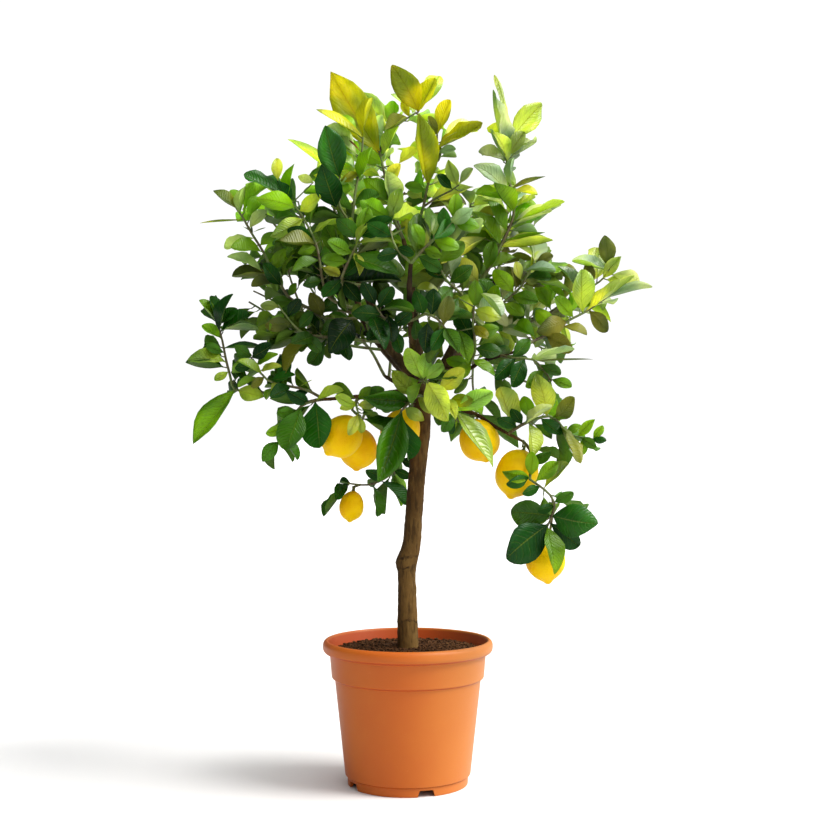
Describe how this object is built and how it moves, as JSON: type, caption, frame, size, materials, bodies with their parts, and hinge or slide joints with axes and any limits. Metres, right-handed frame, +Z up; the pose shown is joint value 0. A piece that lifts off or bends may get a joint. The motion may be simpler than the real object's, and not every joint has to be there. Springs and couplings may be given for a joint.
{
  "type": "potted lemon tree",
  "caption": "Small lemon tree with a bare trunk, a rounded leafy crown and hanging yellow lemons, planted in a round orange plastic pot with soil.",
  "frame": {"origin": "middle of the whole outline in plan, on the ground that the pot stands on", "axes": "+Z up, -Y towards the front of the tree, +X to the right seen from the front"},
  "size_m": [0.5822, 0.464, 0.9212],
  "materials": {
    "pot_plastic": "moulded orange plastic, satin",
    "potting_soil": "loose crumbly dark brown potting soil",
    "bark": "fine-grained olive brown bark with leaf scars",
    "leaf": "leathery green leaf, glossy above and paler below",
    "lemon_peel": "waxy yellow peel with fine pores"
  },
  "bodies": {
    "root": {"lemon_centre": "lemon_peel", "lemon_left": "lemon_peel", "lemon_left_back": "lemon_peel", "lemon_low_right": "lemon_peel", "lemon_lowest": "lemon_peel", "lemon_right": "lemon_peel", "lemon_small": "lemon_peel", "pot": "pot_plastic", "shoot_back_centre": "leaf", "shoot_back_high": "leaf", "shoot_back_left": "leaf", "shoot_back_left_high": "leaf", "shoot_back_low_left": "leaf", "shoot_back_low_right": "leaf", "shoot_back_right": "leaf", "shoot_back_right_high": "leaf", "shoot_back_top": "leaf", "shoot_back_top_left": "leaf", "shoot_centre_front": "leaf", "shoot_centre_left": "leaf", "shoot_centre_low": "leaf", "shoot_centre_right": "leaf", "shoot_front_tuft": "leaf", "shoot_hanging_leaf": "leaf", "shoot_inner_left": "leaf", "shoot_inner_right": "leaf", "shoot_left_arm": "leaf", "shoot_left_high": "leaf", "shoot_left_mid": "leaf", "shoot_left_upright": "leaf", "shoot_low_twig": "leaf", "shoot_lower_left": "leaf", "shoot_outer_left": "leaf", "shoot_over_lemons": "leaf", "shoot_right_front": "leaf", "shoot_right_hanging": "leaf", "shoot_right_high": "leaf", "shoot_right_low": "leaf", "shoot_right_lower": "leaf", "shoot_right_mid": "leaf", "shoot_right_tip": "leaf", "shoot_side_left": "leaf", "shoot_side_right": "leaf", "shoot_top_centre": "leaf", "shoot_top_left": "leaf", "shoot_top_right": "leaf", "shoot_top_stem": "leaf", "soil": "potting_soil", "trunk": "bark"}
  },
  "joints": []
}
